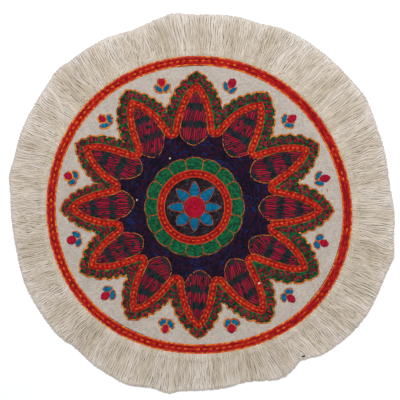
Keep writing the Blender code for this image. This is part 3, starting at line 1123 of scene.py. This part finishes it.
print("turning the work over")
stitchPieces += [makeBackStitches(name, wools[wool], pieces) for name, wool, pieces in (
    ("backRed", "redWool", ("ringBorderRed", "petalBandRed", "middleRed", "heartRed", "sprigRed")),
    ("backOrange", "orangeWool", ("ringBorderOrange", "petalBandRust", "middleOrange", "sprigOrange")),
    ("backGreen", "greenWool", ("greenEdgeFill", "scallopGreen")),
    ("backLeaf", "leafWool", ("leafGround", "leafRed")),
    ("backNavy", "navyWool", ("navyGround", "discBlack")),
    ("backBlue", "blueWool", ("starBlue", "sprigBlue")),
)]

print("cutting the ground cloth")
groundCloth = {
    "low": 0.50 * mm, "high": 1.25 * mm,
    "topRings": 56, "lowRings": 50, "sectors": 288,
    "bends": (60.0, 30.0, 0.0, -30.0, -60.0),       # where round its half circle the edge has rings
    "pucker": 0.10 * mm, "puckerRuns": (9.0 * mm, 11.0 * mm), "creaseRun": 5.0 * mm, "crease": 0.6,
    "fadePower": 8,
    "dyeInset": 2.0 * mm,       # the dye stops this far inside the ring, and half as far in the green edge
    "dyes": {
        "red": (0.20, 0.010, 0.008), "green": (0.004, 0.045, 0.020), "navy": (0.010, 0.008, 0.022),
        "leaf": (0.012, 0.022, 0.022), "blue": (0.005, 0.10, 0.24),
    },
}


# Dye of the wool above each point of the cloth, with 1 after it where there is any
def woolDye(points):
    dye = np.zeros((len(points), 4))

    def soak(where, name):
        dye[where] = (*groundCloth["dyes"][name], 1.0)

    inset = groundCloth["dyeInset"]
    reach = lengthOf(points - motifMiddle)
    for index in range(petals):
        soak(onGreenEdge(index, points, 0.5 * inset), "green")
    soak(insideOutline(points, outerLoop(petalCut["bandHalf"])), "red")
    soak(insideOutline(points, petalLoop(petalCut["bandHalf"])), "navy")
    for index in range(petals):
        soak(insideOutline(points, leafOutline(index)[0]), "leaf")
    for edge, name in ((middleRing["scallopOut"], "green"), (middleRing["scallopIn"], "red"),
                       (star["discReach"], "navy")):
        soak(reach < edge, name)
    for index in range(len(star["tips"])):
        soak(insideOutline(points, starOutline(index)), "blue")
    soak(reach < star["redReach"], "red")
    angle = headingOf(points - clothMiddle)
    within = clothEdge(angle) - ringInset(angle) - lengthOf(points - clothMiddle)
    soak((within > inset) & (within < sum(ringBorder["outlineAt"]) - inset), "red")
    return dye


# Cloth surface: u runs from the middle of the top out to the edge and back below, v runs round. Both faces
# share a height pucker * (crossing waves), and the edge between them is a half circle.
def makeGroundCloth():
    low, high = groundCloth["low"], groundCloth["high"]
    angle = turnsOf(groundCloth["sectors"])
    topShare, lowShare = ((np.arange(rings) + 1.0) / rings
                          for rings in (groundCloth["topRings"], groundCloth["lowRings"]))
    half = 0.5 * (high - low)
    edge = clothEdge(angle) - half
    bend = np.radians(groundCloth["bends"])
    reach = np.concatenate([
        np.outer(topShare, edge), edge + half * np.cos(bend)[:, None], np.outer(lowShare[::-1], edge)])
    level = half * np.concatenate([np.ones(len(topShare)), np.sin(bend), -np.ones(len(lowShare))])
    x, y = np.moveaxis(onCloth(reach, angle), -1, 0)
    across, along = groundCloth["puckerRuns"]
    crease = groundCloth["crease"] * np.sin((x + y) / groundCloth["creaseRun"])
    fade = np.clip(1.0 - (reach / edge.max()) ** groundCloth["fadePower"], 0.0, 1.0)
    pucker = groundCloth["pucker"] * (np.sin(x / across) * np.sin(y / along) + crease) * fade
    height = 0.5 * (high + low) + level[:, None] + pucker
    poles = [(*clothMiddle, high), (*clothMiddle, low)]
    points = np.concatenate([joined(x, y, height).reshape(-1, 3), poles])
    faces = tubeFaces(1, len(level), groundCloth["sectors"])
    return makePiece("clothGround", points, faces, creamTwill, dye=woolDye(points[:, :2]))


clothGround = makeGroundCloth()
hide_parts("cloth")

print("laying the fringe")
fringe = {
    "clear": 0.45 * mm, "outside": 1.9 * mm,        # heading, from the ring border out over the cut edge
    "low": 1.28 * mm, "high": 1.60 * mm, "corner": 0.12 * mm,
    "stations": 480, "tapeTone": (0.3, 0.7),
    "tufts": 1500, "tuft": stitches(0.0, 2.6, 0.75, 0.4, tone=(0.0, 0.9)), "tuftTo": 8.0 * mm,
}
yarn = {
    "count": 1150, "layerTurn": 0.33, "rootPlay": 0.12,             # shares of the pitch
    "width": 1.25 * mm, "height": 0.66 * mm, "sides": 4, "mapLength": 40.0,
    "ringShares": (0.03, 0.985),    # where along a yarn its first and last ring stand
    "rootHeight": 1.70 * mm, "layerRise": 0.16 * mm,
    "tuck": 1.2 * mm, "tuckHeight": 1.35 * mm, "tuckRun": 0.04,     # roots come up beneath the ring border
    "lieHeight": 0.35 * mm, "layerLie": 0.36 * mm, "tipLie": 0.5, "layerShort": 0.9 * mm,
    "dropStart": 0.10, "dropRun": 0.22,             # shares of a yarn's length
    "leans": ((5, 0.9, 20.0), (11, 0.5, 70.0), (23, 0.35, 10.0), (37, 0.25, 200.0)), "leanPower": 1.3,
    "swing": (0.30 * mm, 0.9 * mm, 9.0, 0.4, 2.0),  # from, to, lobes, turn, and turn per layer
    "cycles": (0.9, 2.2, 11.0, 2.6, 1.0),
    "phases": ((3.0, 13.0, 1.0, 1.0), (2.0, 29.0, 2.0, 0.0), (1.5, 53.0, 0.0, 0.0)), "swingFrom": 0.2,
    "ownPlay": 0.26 * mm, "ownCycles": (1.0, 2.4), "ownRise": 0.12 * mm, "endPlay": 0.45 * mm,
    "tone": 0.37, "slowTone": 0.20, "slowLobes": 7.0, "quickTone": 0.10, "quickLobes": 31.0,
    # the root tone darkens each yarn next to the ring border: a painted shade where the yarns come out
    # from under it
    "tonePlay": 0.14, "toneSwing": 0.08, "toneTurn": 1.3, "rootPaintedShade": -0.2, "rootShadeRun": 0.12,
    # the tip tone lightens the yarn ends: a painted light over the shade that falls at the fringe's edge
    "tipPaintedLight": 0.35, "tipPower": 6,
    "clumps": 440.0, "clumpWander": 2.0, "clumpLobes": 17.0, "clumpTurn": 1.9,
    "clumpSide": 0.22, "clumpRise": 0.15 * mm,
    "roll": 0.9 * mm, "rollAt": 228.0, "rollSpread": 20.0, "rollFrom": 0.25, "rollRun": 0.12,
}
yarnLayers = (
    # name, layer from the table up, rings along each yarn, share of the waves it takes
    ("fringeYarnsLow", 0, 5, 0.3),
    ("fringeYarnsMiddle", 1, 13, 1.0),
    ("fringeYarnsTop", 2, 16, 1.0),
)


# The fringe starts close beside the ring border
def fringeStart(angle):
    return clothEdge(angle) - ringInset(angle) + fringe["clear"]


# Heading tape: a flat section with rounded edges carried round the margin of the cloth
def makeHeadingTape():
    angle = turnsOf(fringe["stations"])[:, None]
    edge = clothEdge(angle)
    inner, outer, corner = fringeStart(angle), edge + fringe["outside"], fringe["corner"]
    low, high = fringe["low"], fringe["high"]
    inside, outside = inner + corner, outer - corner
    reach = np.hstack([inside, outside, outer, outer, outside, inside, inner, inner])
    height = np.array([high, high, high - corner, low + corner, low, low, low + corner, high - corner])
    x, y = np.moveaxis(onCloth(reach, angle), -1, 0)
    stations, sides = reach.shape
    tone = np.repeat(dice.uniform(*fringe["tapeTone"], stations), sides)
    mapPlace = joined(angle * edge / mm, np.arange(sides) / sides).reshape(-1, 2)
    return makePiece("fringeHeading", joined(x, y, height).reshape(-1, 3), hoopFaces(stations, sides),
                     wools["fringeWool"], tone, mapPlace)


# Short loose ends that stand up all over the heading
def sewTufts():
    count = fringe["tufts"]
    angle = dice.uniform(0.0, fullTurn, count)
    place = fringeStart(angle) + dice.uniform(0.0, fringe["tuftTo"], count)
    tuft = {**fringe["tuft"], "lift": yarn["rootHeight"] + 3.0 * yarn["layerRise"] - stitchForm["top"]}
    sewAt("fringeTufts", onCloth(place, angle), dice.uniform(0.0, np.pi, count), tuft)


# Smooth wave between 0 and 1 round the cloth: a sine and another 1.7 times as quick, a quarter of each
def slowWave(angle, lobes, turn):
    return 0.5 + 0.25 * np.sin(lobes * angle + turn) + 0.25 * np.sin(1.7 * lobes * angle + 2.0 * turn)


# A setting that drifts between two ends round the cloth, and differently in each layer
def drifting(setting, angle, layer):
    low, high, lobes, turn, layerTurn = setting
    return low + (high - low) * slowWave(angle, lobes, turn + layerTurn * layer)


# Yarn path: it leaves the heading, comes down to the table within a smooth step and runs outwards. Its
# direction is root + lean * s^power + swing * sin(cycles * s + phase), where lean, swing, cycles and phase
# change slowly round the cloth, so that neighbours run together; the section is a flattened ring.
def makeYarns(name, layer, rings, share):
    count, sides = yarn["count"], yarn["sides"]
    pitch = fullTurn / count
    root = pitch * (np.arange(count) + yarn["layerTurn"] * layer)
    root = root + dice.normal(0.0, yarn["rootPlay"] * pitch, count)
    play = dice.normal(0.0, yarn["ownPlay"], count)[:, None]
    playTurn = dice.uniform(0.0, fullTurn, count)[:, None]
    playCycles = dice.uniform(*yarn["ownCycles"], count)[:, None]
    short = np.abs(dice.normal(0.0, yarn["endPlay"], count))[:, None]
    root = root[:, None]
    tone = yarn["tone"] + yarn["slowTone"] * slowWave(root, yarn["slowLobes"], 1.0)
    tone = tone + yarn["quickTone"] * np.sin(yarn["quickLobes"] * root)
    tone += dice.normal(0.0, yarn["tonePlay"], count)[:, None]
    clump = yarn["clumps"] * root + yarn["clumpWander"] * np.sin(yarn["clumpLobes"] * root)
    clump = clump + yarn["clumpTurn"] * layer
    lean = sum(np.radians(height) * np.cos(lobes * (root - np.radians(turn)))
               for lobes, height, turn in yarn["leans"])
    phase = sum(height * np.sin(lobes * root + turn + layerTurn * layer)
                for height, lobes, turn, layerTurn in yarn["phases"])
    swing, cycles = (drifting(yarn[setting], root, layer) for setting in ("swing", "cycles"))
    s = np.concatenate([[0.0], np.linspace(*yarn["ringShares"], rings), [1.0]])[None, :]
    grown = np.minimum(s / yarn["swingFrom"], 1.0)
    wave, ownWave = fullTurn * cycles * s, fullTurn * playCycles * s
    sideways = swing * np.sin(wave + phase) + play * np.sin(ownWave + playTurn)
    sideways = share * sideways * grown / clothEdge(root)
    lean = root + lean * s ** yarn["leanPower"]
    angle = lean + sideways - yarn["clumpSide"] * pitch * np.sin(clump) * grown
    start = fringeStart(root) - yarn["tuck"]
    reach = start + s * (fringeEnd(angle) - short - layer * yarn["layerShort"] - start)
    drop = np.clip((s - yarn["dropStart"]) / yarn["dropRun"], 0.0, 1.0)
    drop = drop * drop * (3.0 - 2.0 * drop)
    lie = yarn["layerLie"] * layer + yarn["clumpRise"] * (1.0 + np.cos(clump)) * (layer > 0)
    lie = yarn["lieHeight"] + lie * (1.0 - yarn["tipLie"] * s ** yarn["tipPower"])
    tucked = np.exp(-(s / yarn["tuckRun"]) ** 2)
    high = tucked * yarn["tuckHeight"] + (1.0 - tucked) * (yarn["rootHeight"] + yarn["layerRise"] * layer)
    roll = yarn["roll"] * bell(np.degrees(root), yarn["rollAt"], yarn["rollSpread"]) * layer * 0.5
    roll = roll * np.exp(-((s - yarn["rollFrom"]) / yarn["rollRun"]) ** 2)
    height = (1.0 - drop) * high + drop * lie + roll
    height = height + yarn["ownRise"] * layer * 0.5 * (1.0 + np.sin(ownWave + 2.0 * playTurn))
    path = np.dstack([*np.moveaxis(onCloth(reach, angle), -1, 0), height])
    side = unit(leftOf(np.gradient(path, axis=1)))
    turn = turnsOf(sides)
    section = path[:, 1:-1, None, :] * np.ones((1, 1, sides, 1))
    section[..., :2] -= (0.5 * yarn["width"] * np.cos(turn))[:, None] * side[:, 1:-1, None, :]
    section[..., 2] += 0.5 * yarn["height"] * np.sin(turn)
    points = np.concatenate([section.reshape(count, -1, 3), path[:, :1], path[:, -1:]], axis=1)
    along = np.append(np.repeat(s[0, 1:-1] * yarn["mapLength"], sides), (0.0, yarn["mapLength"]))
    around = np.append(np.tile(np.arange(sides) / sides, rings), (0.5, 0.5))
    tone = tone + yarn["toneSwing"] * np.sin(wave + yarn["toneTurn"] * phase)
    # darker at each yarn's root next to the ring border: painted shade
    # lighter towards each yarn's tip: painted light over the shade at the fringe's edge
    tone = tone + yarn["tipPaintedLight"] * s ** yarn["tipPower"] + yarn["rootPaintedShade"] * np.exp(-s / yarn["rootShadeRun"])
    tones = np.hstack([np.repeat(tone[:, 1:-1], sides, axis=1), tone[:, :1], tone[:, -1:]])
    return makePiece(name, points.reshape(-1, 3), tubeFaces(count, rings, sides), wools["fringeWool"],
                     tones.ravel(), np.tile(joined(along, around), (count, 1)))


fringeHeading = makeHeadingTape()
sewTufts()
fringePieces = [fringeHeading, makeStitches("fringeTufts", wools["fringeWool"])]
fringePieces += [makeYarns(*layer) for layer in yarnLayers]
for piece in fringePieces:
    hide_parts("fringe")

print("setting the stage")
stage = {
    "floorSize": 6.0, "floorWhite": 0.96, "floorRoughness": 0.9,
    "lampPlace": (0.07, 0.55, 1.0), "lampSize": 0.8, "lampPower": 9.1, "lampColour": (0.95, 1.0, 1.07),
    "sky": 0.66,
    "cameraHeight": 1.2, "cameraWidth": 0.4144, "cameraMiddle": (-1.55 * mm, 3.63 * mm),
    "cameraFilm": 36.0, "cameraNear": 0.01,
}


def makeFloor():
    half = 0.5 * stage["floorSize"]
    mesh = bpy.data.meshes.new("paleFloor")
    corners = [(-half, -half, 0.0), (half, -half, 0.0), (half, half, 0.0), (-half, half, 0.0)]
    mesh.from_pydata(corners, [], [(0, 1, 2, 3)])
    material, tree, shader = newMaterial("paleFloor")
    feed(tree, (stage["floorWhite"],) * 3, shader.inputs["Base Color"])
    feed(tree, stage["floorRoughness"], shader.inputs["Roughness"])
    mesh.materials.append(material)
    floor = addObject("paleFloor", mesh)


def addLamp():
    lamp = bpy.data.lights.new("windowLamp", "AREA")
    lamp.size = stage["lampSize"]
    lamp.energy = stage["lampPower"]
    lamp.color = stage["lampColour"]
    holder = addObject("windowLamp", lamp)
    holder.location = stage["lampPlace"]
    holder.rotation_mode = "QUATERNION"
    holder.rotation_quaternion = (-Vector(stage["lampPlace"])).to_track_quat("-Z", "Y")


def addSky():
    world = bpy.data.worlds.new("softSky")
    world.use_nodes = True
    world.node_tree.nodes["Background"].inputs["Color"].default_value = (1.0, 1.0, 1.0, 1.0)
    world.node_tree.nodes["Background"].inputs["Strength"].default_value = stage["sky"]
    bpy.context.scene.world = world


def addCamera():
    lens = bpy.data.cameras.new("overheadCamera")
    lens.sensor_width = stage["cameraFilm"]
    lens.lens = lens.sensor_width * stage["cameraHeight"] / stage["cameraWidth"]
    lens.clip_start = stage["cameraNear"]
    camera = addObject("overheadCamera", lens)
    camera.location = (*stage["cameraMiddle"], stage["cameraHeight"])
    bpy.context.scene.camera = camera


makeFloor()
addLamp()
addSky()
addCamera()
bpy.context.scene.view_settings.view_transform = "Standard"
